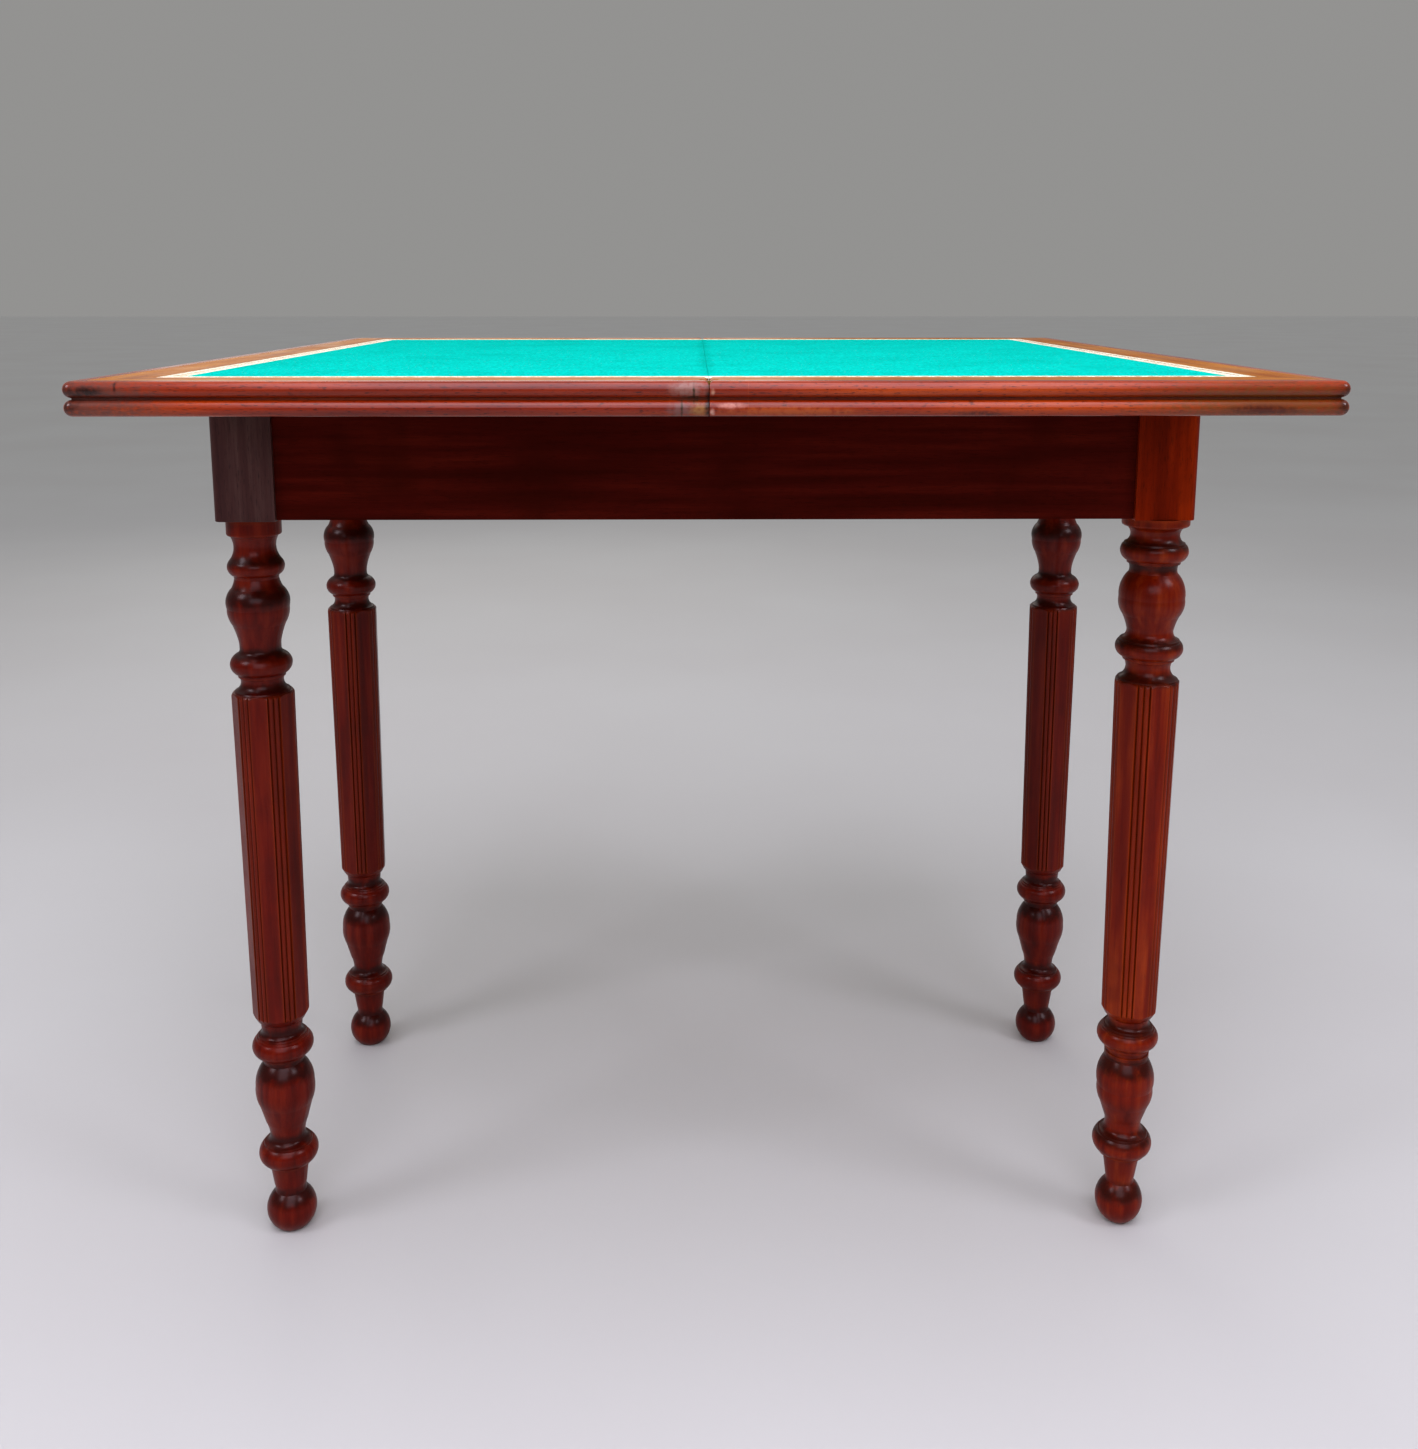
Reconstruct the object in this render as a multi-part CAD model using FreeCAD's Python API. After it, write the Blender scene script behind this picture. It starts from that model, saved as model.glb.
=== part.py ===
import FreeCAD, Part
import math
import os

# A games table whose top turns a quarter round on the frame and folds in half. It is modelled open.
# Lengths are in millimetres and angles in degrees. X runs to the right, Y to the back and Z up.
# The origin is on the floor, under the middle of the open top.

# Overall sizes
table_height = 740.0
top_side = 800.0  # of the open top, which is square
frame_height = 99.7  # of the corner blocks
leaf_thickness = 22.0
top_overhang = 18.0  # closed top beyond the frame, on all four sides
top_clearance = 0.3  # between the frame and the leaves that turn over it

# Gaps and cuts
overrun = 2.0  # how far a cut runs past the face that it starts from
glue_gap = 0.1  # between a tenon, peg or let-in piece and its hole
drive_gap = 0.02  # round a pin that is driven tight
running_gap = 0.05  # round a shaft that turns in its hole
side_gap = 0.3  # beside a piece that turns against another

# Edge mouldings of the leaves
edge_width = 12.0
bead_quirk = 1.0  # flat between the two beads
bead_reach = 5.0
top_corner_radius = 6.0

# Playing surface
banding_thickness = 1.0
margin_width = 43.0  # wooden margin from the leaf's edge to the tooled border
border_width = 15.0
border_thickness = 0.8
baize_thickness = 0.9
face_veneer_thickness = 1.0
seam_strip_width = 12.0

# Link hinges between the leaves. Both pins lie the same depth under the playing surface,
# and the leaves' upper corners are rounded about them, so that the corners roll on each other.
seam_gap = 0.6
pivot_depth = 3.0
pin_radius = 1.2
pin_head_radius = 1.9
pin_head_thickness = 0.9
link_end_radius = 2.3
link_thickness = 2.6
slot_clearance = 0.4
plate_length = 22.0
plate_height = 15.6
plate_thickness = 3.0
plate_inset = 0.2
cover_length = 24.0
hinge_screw_radius = 1.2
hinge_screw_head_radius = 2.3
hinge_screw_head_depth = 1.4
hinge_screw_length = 14.0
hinge_screw_drop = 2.5  # below the middle of the plate's height
hinge_screw_shares = (0.4, 0.82)  # places along the plate

# Turned legs. The front right leg is an odd one: like the other three, but turned to a stouter pattern.
head_height = 141.0  # turnings above the fluted shaft
odd_head_height = 133.0
foot_height = 193.0  # turnings below the shaft
head_radius = 24.4
odd_head_radius = 27.0
foot_radius = 24.8
odd_foot_radius = 25.4
shaft_top_radius = 24.8
odd_shaft_top_radius = 26.2
shaft_foot_radius = 23.0
odd_shaft_foot_radius = 23.2
shoulder_height = 6.5
shoulder_step = 1.8
run_out_height = 6.5
run_out_step = 3.6
facet_count = 6
facet_angle = 35.0
arris_drop = 0.2  # of a facet's corners below the turned surface
groove_depth = 1.8
groove_lead_angle = 1.6
reed_drop = 0.25
dowel_radius = 9.0
dowel_height = 45.0
dowel_chamfer = 1.5
leg_turn_angles = {"front_left": -25.0, "front_right": -21.0, "back_left": 8.0, "back_right": -14.0}

# Turned outline above the shaft: height above the shaft, radius, and the bulge of the stretch that ends
# there, all as shares: of the turnings' height, of their largest radius and of the stretch's own length
head_shares = (
    (1.000, 0.873, 0.00),
    (0.918, 0.873, 0.00),
    (0.905, 0.811, 0.20),
    (0.903, 0.770, 0.00),
    (0.763, 0.828, -0.16),
    (0.756, 0.857, 0.00),
    (0.679, 0.775, 0.20),
    (0.674, 0.721, 0.00),
    (0.657, 0.705, 0.00),
    (0.603, 0.816, -0.04),
    (0.489, 0.996, 0.14),
    (0.394, 0.852, 0.08),
    (0.316, 0.705, -0.02),
    (0.255, 0.664, -0.04),
    (0.223, 0.770, -0.16),
    (0.170, 0.996, 0.12),
    (0.109, 0.828, 0.14),
    (0.104, 0.770, 0.00),
    (0.089, 0.762, 0.00),
    (0.087, 0.721, 0.00),
    (0.009, 0.889, -0.22),
    (0.000, 0.918, 0.00),
)

# Turned outline below the shaft, in the same way, with its heights above the floor
foot_shares = (
    (1.000, 0.782, 0.00),
    (0.990, 0.694, 0.00),
    (0.956, 0.669, 0.00),
    (0.930, 0.750, -0.15),
    (0.928, 0.790, 0.00),
    (0.921, 0.815, 0.00),
    (0.920, 0.847, 0.00),
    (0.911, 0.879, 0.00),
    (0.909, 0.907, 0.00),
    (0.834, 0.847, 0.23),
    (0.832, 0.782, 0.00),
    (0.822, 0.766, 0.00),
    (0.820, 0.710, 0.00),
    (0.796, 0.669, 0.00),
    (0.689, 0.980, 0.10),
    (0.598, 0.879, 0.07),
    (0.516, 0.702, 0.00),
    (0.448, 0.585, -0.05),
    (0.418, 0.750, -0.16),
    (0.417, 0.790, 0.00),
    (0.409, 0.815, 0.00),
    (0.408, 0.847, 0.00),
    (0.324, 0.855, 0.22),
    (0.321, 0.790, 0.00),
    (0.313, 0.774, 0.00),
    (0.311, 0.653, 0.00),
    (0.212, 0.548, 0.00),
    (0.174, 0.532, -0.06),
    (0.000, 0.504, 0.24),
)

# The odd leg's outlines
odd_head_shares = (
    (1.000, 0.974, 0.00),
    (0.959, 0.974, 0.00),
    (0.946, 0.911, 0.15),
    (0.943, 0.844, 0.00),
    (0.847, 0.826, -0.27),
    (0.844, 0.874, 0.00),
    (0.833, 0.889, 0.00),
    (0.831, 0.922, 0.00),
    (0.741, 0.852, 0.20),
    (0.736, 0.785, 0.00),
    (0.719, 0.770, 0.00),
    (0.716, 0.715, 0.00),
    (0.662, 0.700, -0.08),
    (0.508, 0.956, 0.11),
    (0.398, 0.822, 0.10),
    (0.312, 0.678, -0.03),
    (0.253, 0.830, -0.17),
    (0.251, 0.867, 0.00),
    (0.240, 0.885, 0.00),
    (0.238, 0.915, 0.00),
    (0.144, 0.826, 0.24),
    (0.139, 0.763, 0.00),
    (0.123, 0.752, 0.00),
    (0.120, 0.711, 0.00),
    (0.011, 0.844, -0.22),
    (0.008, 0.881, 0.00),
    (0.000, 0.889, 0.00),
)

odd_foot_shares = (
    (1.000, 0.764, 0.00),
    (0.987, 0.669, 0.00),
    (0.969, 0.650, 0.00),
    (0.948, 0.756, -0.15),
    (0.947, 0.795, 0.00),
    (0.939, 0.819, 0.00),
    (0.937, 0.854, 0.00),
    (0.930, 0.878, 0.00),
    (0.928, 0.906, 0.00),
    (0.861, 0.850, 0.22),
    (0.858, 0.787, 0.00),
    (0.846, 0.772, 0.00),
    (0.844, 0.724, 0.00),
    (0.823, 0.681, -0.10),
    (0.821, 0.720, 0.00),
    (0.805, 0.720, 0.00),
    (0.804, 0.685, 0.00),
    (0.792, 0.701, 0.00),
    (0.658, 0.909, 0.11),
    (0.575, 0.795, 0.08),
    (0.505, 0.614, 0.00),
    (0.474, 0.591, -0.05),
    (0.439, 0.764, -0.17),
    (0.438, 0.803, 0.00),
    (0.431, 0.827, 0.00),
    (0.429, 0.858, 0.00),
    (0.348, 0.843, 0.20),
    (0.345, 0.787, 0.00),
    (0.336, 0.772, 0.00),
    (0.334, 0.614, 0.00),
    (0.218, 0.480, 0.00),
    (0.194, 0.472, -0.06),
    (0.000, 0.354, 0.25),
)

# Frame
block_size = 48.0
block_corner_radius = 6.0
arris_radius = 0.6
apron_recess = 4.0
apron_lift = 1.0
apron_core_thickness = 20.0
apron_veneer_thickness = 1.0
tenon_length = 10.0
tenon_thickness = 8.0
tenon_shoulder = 12.0
rail_thickness = 24.0
housing_depth = 6.0
cleat_depth = 16.0
cleat_height = 18.0
divider_thickness = 12.0
divider_drop = 2.0
ledger_size = 14.0
well_board_thickness = 8.0
lining_thickness = 1.0
lining_margin = 1.0

# Pivot of the top
bolt_radius = 6.0
bolt_tang_radius = 4.5
bolt_tail = 4.0  # thread left below the nut
bolt_chamfer = 1.0
pivot_plate_radius = 32.0
pivot_plate_thickness = 3.0
pivot_screw_circle_radius = 23.0
pivot_screw_count = 4
pivot_screw_radius = 1.8
pivot_screw_head_radius = 3.4
pivot_screw_head_depth = 2.0
pivot_screw_length = 16.0
washer_gap = 0.2
friction_washer_radius = 18.0
friction_washer_thickness = 2.5
steel_washer_radius = 15.0
steel_washer_thickness = 2.0
nut_size = 20.0
nut_thickness = 9.0
nut_chamfer = 1.2
peg_radius = 6.0
peg_drop = 15.0
peg_depth = 12.0
peg_chamfer = 1.0
peg_reach = 120.0  # from the pivot, along X with the top open

# Worked out from the sizes above
leaf_width = top_side / 2  # from the seam to the outer end, along X
leaf_length = top_side  # along Y
underside_z = table_height - leaf_thickness
ground_z = table_height - banding_thickness
frame_top_z = underside_z - top_clearance
leg_height = frame_top_z - frame_height
apron_low_z = leg_height + apron_lift
frame_half_x = leaf_length / 2 - top_overhang
frame_half_y = leaf_width / 2 - top_overhang
block_inner_x = frame_half_x - block_size
block_inner_y = frame_half_y - block_size
core_outer_x = frame_half_x - apron_recess - apron_veneer_thickness
core_outer_y = frame_half_y - apron_recess - apron_veneer_thickness
core_inner_x = core_outer_x - apron_core_thickness
core_inner_y = core_outer_y - apron_core_thickness
pivot_x = -leaf_width / 4  # a quarter turn about this point brings the folded top over the frame
pivot_y = -leaf_width / 4
peg_stand_off = core_inner_y + pivot_y - peg_radius - side_gap
rail_half_width = peg_stand_off - peg_radius - side_gap
rail_low_z = frame_top_z - rail_thickness
well_x = 0.0
hinge_offset = pivot_depth + seam_gap / 2
pin_z = table_height - pivot_depth
end_face_x = seam_gap / 2
plate_round = pivot_depth - plate_inset
plate_x = hinge_offset - plate_round
plate_y = edge_width - leaf_length / 2
link_y = plate_y + plate_thickness + side_gap
pin_head_y = link_y + link_thickness + side_gap
side_y = leaf_length / 2 - edge_width

corners = {"front_left": (-1, -1), "front_right": (1, -1), "back_left": (-1, 1), "back_right": (1, 1)}
up = FreeCAD.Vector(0, 0, 1)
centre = FreeCAD.Vector(0, 0, 0)


def box(x_span, y_span, z_span):
    low = FreeCAD.Vector(min(x_span), min(y_span), min(z_span))
    high = FreeCAD.Vector(max(x_span), max(y_span), max(z_span))
    return Part.makeBox(high.x - low.x, high.y - low.y, high.z - low.z, low)


def rod(radius, start, end):
    along = end - start
    return Part.makeCylinder(radius, along.Length, start, along)


def cone(start_radius, end_radius, start, end):
    along = end - start
    return Part.makeCone(start_radius, end_radius, along.Length, start, along)


def polygon(points):
    return Part.Face(Part.makePolygon(list(points) + [points[0]]))


def slab(plan, z_span):
    # A flat piece with the given outline in plan
    points = [FreeCAD.Vector(x, y, min(z_span)) for x, y in plan]
    return polygon(points).extrude(up * abs(z_span[1] - z_span[0]))


def across_seam(shape):
    return shape.mirror(centre, FreeCAD.Vector(1, 0, 0))


def front_and_back(shape):
    return [shape, shape.mirror(centre, FreeCAD.Vector(0, 1, 0))]


def cut_by(shape, tools):
    for tool in tools:
        shape = shape.cut(tool)
    return shape


def save(name, shapes):
    kept = shapes if isinstance(shapes, list) else [shapes]
    solids = [solid for shape in kept for solid in shape.Solids]
    whole = solids[0] if len(solids) == 1 else Part.makeCompound(solids)
    whole.exportStep("parts/" + name + ".step")
    print(name, len(solids), "solids", round(whole.Volume), "mm3")


# Turned legs

def turned_stretch(start, end, bulge):
    # A straight or arched stretch of a turned outline, given as radius and height
    along = end - start
    if bulge == 0:
        return Part.makeLine(start, end)
    outward = FreeCAD.Vector(-along.z, 0, along.x)
    middle = (start + end) / 2 + outward * bulge
    return Part.Arc(start, middle, end).toShape()


def turned_solid(edges):
    low = edges[-1].lastVertex(True).Point
    high = edges[0].firstVertex(True).Point
    edges = edges + [
        Part.makeLine(low, FreeCAD.Vector(0, 0, low.z)),
        Part.makeLine(FreeCAD.Vector(0, 0, low.z), FreeCAD.Vector(0, 0, high.z)),
        Part.makeLine(FreeCAD.Vector(0, 0, high.z), high),
    ]
    return Part.Face(Part.Wire(Part.__sortEdges__(edges))).revolve(centre, up, 360)


def turning(shares, low_z, height, radius):
    points = [FreeCAD.Vector(across * radius, 0, low_z + rise * height) for rise, across, bulge in shares]
    edges = []
    for index in range(1, len(shares)):
        edges.append(turned_stretch(points[index - 1], points[index], shares[index][2]))
    return turned_solid(edges)


def shaft_blank(top_z, top_radius, low_radius):
    # The shaft as turned, before it is fluted
    shoulder = FreeCAD.Vector(top_radius, 0, top_z - shoulder_height)
    crown = FreeCAD.Vector(top_radius - shoulder_step, 0, top_z)
    run_out = FreeCAD.Vector(low_radius, 0, foot_height + run_out_height)
    root = FreeCAD.Vector(low_radius - run_out_step, 0, foot_height)
    shoulder_bulge = shoulder_step / (shoulder - crown).Length / 2
    return turned_solid([
        turned_stretch(crown, shoulder, shoulder_bulge),
        turned_stretch(shoulder, run_out, 0),
        turned_stretch(run_out, root, 0),
    ])


def flute_section(radius, height):
    # Flat facets with a pair of narrow reeds between each two
    def on_circle(reach, angle):
        turn = math.radians(angle)
        return FreeCAD.Vector(reach * math.cos(turn), reach * math.sin(turn), height)

    step = 360 / facet_count
    first = facet_angle / 2
    groove = radius - groove_depth
    reed_start = first + groove_lead_angle
    reed_middle = step / 2
    edges = []
    for index in range(facet_count):
        base = index * step
        corner_a = on_circle(radius - arris_drop, base - first)
        corner_b = on_circle(radius - arris_drop, base + first)
        groove_a = on_circle(groove, base + reed_start)
        groove_b = on_circle(groove, base + reed_middle)
        groove_c = on_circle(groove, base + step - reed_start)
        reed_a = on_circle(radius - reed_drop, base + (reed_start + reed_middle) / 2)
        reed_b = on_circle(radius - reed_drop, base + step - (reed_start + reed_middle) / 2)
        next_corner = on_circle(radius - arris_drop, base + step - first)
        edges += [
            Part.makeLine(corner_a, corner_b),
            Part.makeLine(corner_b, groove_a),
            Part.Arc(groove_a, reed_a, groove_b).toShape(),
            Part.Arc(groove_b, reed_b, groove_c).toShape(),
            Part.makeLine(groove_c, next_corner),
        ]
    return Part.Wire(Part.__sortEdges__(edges))


def fluted_shaft(top_z, top_radius, low_radius):
    taper = (top_radius - low_radius) / (top_z - foot_height - shoulder_height - run_out_height)
    sections = [
        flute_section(low_radius - taper * run_out_height, foot_height),
        flute_section(top_radius + taper * shoulder_height, top_z),
    ]
    return shaft_blank(top_z, top_radius, low_radius).common(Part.makeLoft(sections, True, True))


def leg_dowel():
    # The glued peg on the leg's head, which goes up into the corner block
    low = FreeCAD.Vector(0, 0, leg_height)
    shoulder = low + up * (dowel_height - dowel_chamfer)
    tip = low + up * dowel_height
    return rod(dowel_radius, low, shoulder).fuse(
        cone(dowel_radius, dowel_radius - dowel_chamfer, shoulder, tip))


def common_leg():
    shaft_top_z = leg_height - head_height
    head = turning(head_shares, shaft_top_z, head_height, head_radius)
    shaft = fluted_shaft(shaft_top_z, shaft_top_radius, shaft_foot_radius)
    foot = turning(foot_shares, 0, foot_height, foot_radius)
    return head.multiFuse([shaft, foot, leg_dowel()]).removeSplitter()


def odd_leg():
    shaft_top_z = leg_height - odd_head_height
    head = turning(odd_head_shares, shaft_top_z, odd_head_height, odd_head_radius)
    shaft = fluted_shaft(shaft_top_z, odd_shaft_top_radius, odd_shaft_foot_radius)
    foot = turning(odd_foot_shares, 0, foot_height, odd_foot_radius)
    return head.multiFuse([shaft, foot, leg_dowel()]).removeSplitter()


def corner_axis(corner):
    # The foot of the upright axis that a corner's block and leg share
    side_x, side_y = corners[corner]
    inset = block_size / 2
    return FreeCAD.Vector(side_x * (frame_half_x - inset), side_y * (frame_half_y - inset), 0)


def stand_at_corner(shape, corner):
    turned = shape.copy()
    turned.rotate(centre, up, leg_turn_angles[corner])
    turned.translate(corner_axis(corner))
    return turned


# Frame

def tenon_run(side, inner, gap):
    return side * (inner - overrun), side * (inner + tenon_length + gap)


def tenon_width(side, core_outer, gap):
    middle = core_outer - apron_core_thickness / 2
    half = tenon_thickness / 2 + gap
    return side * (middle - half), side * (middle + half)


def tenon_height(gap):
    return apron_low_z + tenon_shoulder - gap, frame_top_z - tenon_shoulder + gap


def long_tenon(side_x, side_y, gap):
    # The stub tenon at one end of the front or back apron, or its mortise when gap is set
    run = tenon_run(side_x, block_inner_x, gap)
    return box(run, tenon_width(side_y, core_outer_y, gap), tenon_height(gap))


def short_tenon(side_x, side_y, gap):
    run = tenon_run(side_y, block_inner_y, gap)
    return box(tenon_width(side_x, core_outer_x, gap), run, tenon_height(gap))


def block_box(side_x, side_y, gap):
    return box((side_x * (block_inner_x - gap), side_x * frame_half_x),
               (side_y * (block_inner_y - gap), side_y * frame_half_y), (leg_height, frame_top_z))


def corner_block(corner):
    side_x, side_y = corners[corner]
    shape = block_box(side_x, side_y, 0)

    def outer(edge):
        place = edge.CenterOfMass
        return abs(abs(place.x) - frame_half_x) < overrun and abs(abs(place.y) - frame_half_y) < overrun

    shape = shape.makeFillet(block_corner_radius, [edge for edge in shape.Edges if outer(edge)])
    lower_edges = [edge for edge in shape.Edges if edge.BoundBox.ZMax < leg_height + overrun]
    shape = shape.makeFillet(arris_radius, lower_edges)
    axis = corner_axis(corner)
    bore = rod(dowel_radius + glue_gap, axis + up * (leg_height - overrun),
               axis + up * (leg_height + dowel_height + glue_gap))
    return cut_by(shape, [bore, long_tenon(side_x, side_y, glue_gap), short_tenon(side_x, side_y, glue_gap)])


def pivot_rail_box(gap):
    reach = core_inner_y + housing_depth
    return box((pivot_x - rail_half_width - gap, pivot_x + rail_half_width + gap),
               (-reach - gap, reach + gap), (rail_low_z - gap, frame_top_z))


def divider_box(gap):
    reach = core_inner_y + housing_depth
    return box((well_x - divider_thickness - gap, well_x + gap), (-reach - gap, reach + gap),
               (apron_low_z, frame_top_z - divider_drop))


def raised(shape):
    # The same space with no top: what has to be cut away so that a piece can be dropped in from above
    bounds = shape.BoundBox
    return shape.fuse(box((bounds.XMin, bounds.XMax), (bounds.YMin, bounds.YMax),
                          (bounds.ZMax - overrun, frame_top_z + overrun)))


def lowered(shape):
    bounds = shape.BoundBox
    return shape.fuse(box((bounds.XMin, bounds.XMax), (bounds.YMin, bounds.YMax),
                          (bounds.ZMin - overrun, bounds.ZMin + overrun)))


def long_apron(side_y):
    shape = box((-block_inner_x, block_inner_x), (side_y * core_inner_y, side_y * core_outer_y),
                (apron_low_z, frame_top_z))
    for side_x in (-1, 1):
        shape = shape.fuse(long_tenon(side_x, side_y, 0))
    housings = [raised(pivot_rail_box(glue_gap)), lowered(raised(divider_box(glue_gap)))]
    return cut_by(shape.removeSplitter(), housings)


def short_apron(side_x):
    shape = box((side_x * core_inner_x, side_x * core_outer_x), (-block_inner_y, block_inner_y),
                (apron_low_z, frame_top_z))
    for side_y in (-1, 1):
        shape = shape.fuse(short_tenon(side_x, side_y, 0))
    return shape.removeSplitter()


def long_apron_veneer(side_y):
    return box((-block_inner_x, block_inner_x),
               (side_y * core_outer_y, side_y * (core_outer_y + apron_veneer_thickness)),
               (apron_low_z, frame_top_z))


def short_apron_veneer(side_x):
    return box((side_x * core_outer_x, side_x * (core_outer_x + apron_veneer_thickness)),
               (-block_inner_y, block_inner_y), (apron_low_z, frame_top_z))


def pivot_axis(z):
    return FreeCAD.Vector(pivot_x, pivot_y, z)


def pivot_rail():
    hole = rod(bolt_radius + running_gap,
               pivot_axis(rail_low_z - overrun), pivot_axis(frame_top_z + overrun))
    return pivot_rail_box(0).cut(hole)


def pivot_rail_cleats():
    cleat = box((pivot_x - rail_half_width, pivot_x + rail_half_width),
                (-core_inner_y, cleat_depth - core_inner_y), (rail_low_z - cleat_height, rail_low_z))
    return front_and_back(cleat)


def well_ledgers():
    high_z = apron_low_z + ledger_size
    front = box((well_x, block_inner_x), (-core_inner_y, ledger_size - core_inner_y), (apron_low_z, high_z))
    inner_y = core_inner_y - ledger_size
    beside_divider = box((well_x, well_x + ledger_size), (-inner_y, inner_y), (apron_low_z, high_z))
    right = box((core_inner_x - ledger_size, core_inner_x),
                (-block_inner_y, block_inner_y), (apron_low_z, high_z))
    return front_and_back(front) + [beside_divider, right]


def well_sheet(margin, low_z, thickness):
    # A sheet that fills the well, notched round the two corner blocks
    sheet = box((well_x + margin, core_inner_x - margin), (margin - core_inner_y, core_inner_y - margin),
                (low_z, low_z + thickness))
    return cut_by(sheet, [block_box(1, -1, margin), block_box(1, 1, margin)])


def well_bottom():
    return well_sheet(glue_gap, apron_low_z + ledger_size, well_board_thickness)


def well_lining():
    return well_sheet(lining_margin, apron_low_z + ledger_size + well_board_thickness, lining_thickness)


# Leaves. Each piece is made for the right-hand leaf and mirrored across the seam for the left-hand one.

def bead_face(depth):
    # Section of the edge moulding: two half-round beads one above the other, facing -X
    bead_height = (leaf_thickness - bead_quirk) / 2
    top = FreeCAD.Vector(bead_reach, 0, leaf_thickness)
    quirk_high = FreeCAD.Vector(bead_reach, 0, leaf_thickness - bead_height)
    quirk_low = FreeCAD.Vector(bead_reach, 0, bead_height)
    low = FreeCAD.Vector(bead_reach, 0, 0)
    inner_low = FreeCAD.Vector(depth, 0, 0)
    inner_top = FreeCAD.Vector(depth, 0, leaf_thickness)
    return Part.Face(Part.Wire([
        Part.makeLine(inner_top, top),
        Part.Arc(top, FreeCAD.Vector(0, 0, leaf_thickness - bead_height / 2), quirk_high).toShape(),
        Part.makeLine(quirk_high, quirk_low),
        Part.Arc(quirk_low, FreeCAD.Vector(0, 0, bead_height / 2), low).toShape(),
        Part.makeLine(low, inner_low),
        Part.makeLine(inner_low, inner_top),
    ]))


def mitred_strip(length):
    # Edge moulding along +Y that faces -X. Its far end is mitred, with the corner rounded in plan.
    station = length - top_corner_radius
    body = bead_face(edge_width).extrude(FreeCAD.Vector(0, station, 0))
    inner = edge_width - top_corner_radius
    waste = slab([(top_corner_radius, station + overrun), (top_corner_radius, station),
                  (edge_width, station - inner), (edge_width + overrun, station - inner),
                  (edge_width + overrun, station + overrun)], (-overrun, leaf_thickness + overrun))
    section = bead_face(top_corner_radius)
    section.translate(FreeCAD.Vector(0, station, 0))
    corner = section.revolve(FreeCAD.Vector(top_corner_radius, station, 0), up, -45)
    return body.cut(waste).fuse(corner).removeSplitter()


def at_front(strip, start_x):
    # Turns a strip along +Y that faces -X into one along +X that faces the front, from start_x on
    placed = across_seam(strip)
    placed.rotate(centre, up, -90)
    placed.translate(FreeCAD.Vector(start_x, -leaf_length / 2, underside_z))
    return placed


def front_edge():
    start_x = end_face_x + cover_length
    return at_front(mitred_strip(leaf_width - start_x), start_x)


def end_edge():
    half = across_seam(mitred_strip(leaf_length / 2))
    half.translate(FreeCAD.Vector(leaf_width, 0, underside_z))
    front, back = front_and_back(half)
    return front.fuse(back).removeSplitter()


def seam_round():
    # What is taken off a leaf's upper corner at the seam, all along it
    reach = leaf_length / 2 + overrun
    waste = box((-overrun, hinge_offset), (-reach, reach), (pin_z, table_height + overrun))
    keep = rod(pivot_depth, FreeCAD.Vector(hinge_offset, -reach - overrun, pin_z),
               FreeCAD.Vector(hinge_offset, reach + overrun, pin_z))
    return waste.cut(keep)


def hinge_cover():
    piece = at_front(bead_face(edge_width).extrude(FreeCAD.Vector(0, cover_length, 0)), end_face_x)
    return piece.cut(seam_round())


def hinge_screw_places():
    z = table_height - plate_inset - plate_height / 2 - hinge_screw_drop
    return [FreeCAD.Vector(plate_x + share * plate_length, plate_y, z) for share in hinge_screw_shares]


def wood_screw(place, along, shank_radius, head_radius, head_depth, length, gap):
    # Countersunk screw with its head's face at place, or its hole when gap is set
    neck = place + along * head_depth
    tip_start = place + along * (length - 2 * shank_radius)
    tip = place + along * (length + gap)
    head = cone(head_radius + gap, shank_radius + gap, place, neck)
    shank = rod(shank_radius + gap, neck, tip_start)
    point = cone(shank_radius + gap, shank_radius / 4, tip_start, tip)
    return head.multiFuse([shank, point]).removeSplitter()


def hinge_screws(gap):
    inward = FreeCAD.Vector(0, 1, 0)
    return [wood_screw(place, inward, hinge_screw_radius, hinge_screw_head_radius, hinge_screw_head_depth,
                       hinge_screw_length, gap) for place in hinge_screw_places()]


def hinge_room():
    # Everything that is let out of a leaf for one hinge: pocket, slot of the link, and screw holes
    plate_low = table_height - plate_inset - plate_height
    pocket = box((-overrun, plate_x + plate_length + glue_gap),
                 (plate_y - overrun, plate_y + plate_thickness + glue_gap),
                 (plate_low - glue_gap, table_height + overrun))
    reach = link_end_radius + slot_clearance
    back_y = pin_head_y + pin_head_thickness + side_gap
    axis = FreeCAD.Vector(hinge_offset, 0, pin_z)
    slot_round = rod(reach, axis + FreeCAD.Vector(0, plate_y, 0), axis + FreeCAD.Vector(0, back_y, 0))
    slot_side = box((-overrun, hinge_offset), (plate_y, back_y), (pin_z - reach, table_height + overrun))
    slot_top = box((-overrun, hinge_offset + reach), (plate_y, back_y), (pin_z, table_height + overrun))
    return [pocket, slot_round, slot_side, slot_top] + hinge_screws(glue_gap)


def let_in_hinges(shape):
    for tool in hinge_room():
        shape = cut_by(shape, front_and_back(tool))
    return shape


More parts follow.
